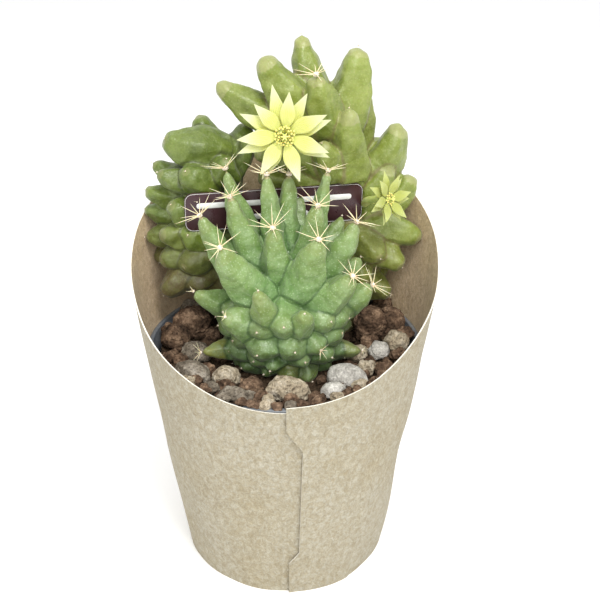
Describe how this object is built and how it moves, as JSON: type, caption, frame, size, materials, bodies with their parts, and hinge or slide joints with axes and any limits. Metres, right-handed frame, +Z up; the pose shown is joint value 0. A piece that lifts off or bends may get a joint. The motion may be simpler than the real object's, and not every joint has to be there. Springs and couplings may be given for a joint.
{
  "type": "potted round cactus",
  "caption": "Round clustering cactus with long pointed tubercles, spines and yellow flowers, in a small nursery pot wrapped in a flared paper sleeve, with a plant label.",
  "frame": {"origin": "centre of the pot's round base, on the surface it stands on", "axes": "+Z up, and -Y to the front, where the sleeve's rim is lowest and its two ends overlap"},
  "size_m": [0.1167, 0.1175, 0.2],
  "materials": {
    "paper_sleeve": "matte",
    "nursery_pot": "satin",
    "plant_label": "satin",
    "potting_soil": "matte",
    "lava_stone": "matte",
    "pumice_stone": "matte",
    "front_head_skin": "satin",
    "rear_head_skin": "satin",
    "spines": "satin",
    "petals": "satin",
    "flower_tube": "satin",
    "stamens": "matte"
  },
  "bodies": {
    "root": {"front_head": "front_head_skin", "front_spines_1": "spines", "front_spines_10": "spines", "front_spines_11": "spines", "front_spines_12": "spines", "front_spines_13": "spines", "front_spines_2": "spines", "front_spines_3": "spines", "front_spines_4": "spines", "front_spines_5": "spines", "front_spines_6": "spines", "front_spines_7": "spines", "front_spines_8": "spines", "front_spines_9": "spines", "large_flower_inner_petal_1": "petals", "large_flower_inner_petal_2": "petals", "large_flower_inner_petal_3": "petals", "large_flower_inner_petal_4": "petals", "large_flower_inner_petal_5": "petals", "large_flower_inner_petal_6": "petals", "large_flower_inner_petal_7": "petals", "large_flower_outer_petal_1": "petals", "large_flower_outer_petal_2": "petals", "large_flower_outer_petal_3": "petals", "large_flower_outer_petal_4": "petals", "large_flower_outer_petal_5": "petals", "large_flower_outer_petal_6": "petals", "large_flower_outer_petal_7": "petals", "large_flower_outer_petal_8": "petals", "large_flower_stamens": "stamens", "large_flower_style": "stamens", "large_flower_tube": "flower_tube", "lava_stone_1": "lava_stone", "lava_stone_13": "lava_stone", "lava_stone_14": "lava_stone", "lava_stone_15": "lava_stone", "lava_stone_2": "lava_stone", "lava_stone_3": "lava_stone", "lava_stone_5": "lava_stone", "lava_stone_6": "lava_stone", "left_head": "rear_head_skin", "nursery_pot": "nursery_pot", "paper_sleeve": "paper_sleeve", "plant_label": "plant_label", "pumice_stone_10": "pumice_stone", "pumice_stone_11": "pumice_stone", "pumice_stone_12": "pumice_stone", "pumice_stone_4": "pumice_stone", "pumice_stone_7": "pumice_stone", "pumice_stone_8": "pumice_stone", "pumice_stone_9": "pumice_stone", "rear_head": "rear_head_skin", "rear_spines_1": "spines", "small_flower_inner_petals": "petals", "small_flower_outer_petals": "petals", "small_flower_stamens": "stamens", "small_flower_style": "stamens", "small_flower_tube": "flower_tube", "soil": "potting_soil"}
  },
  "joints": []
}
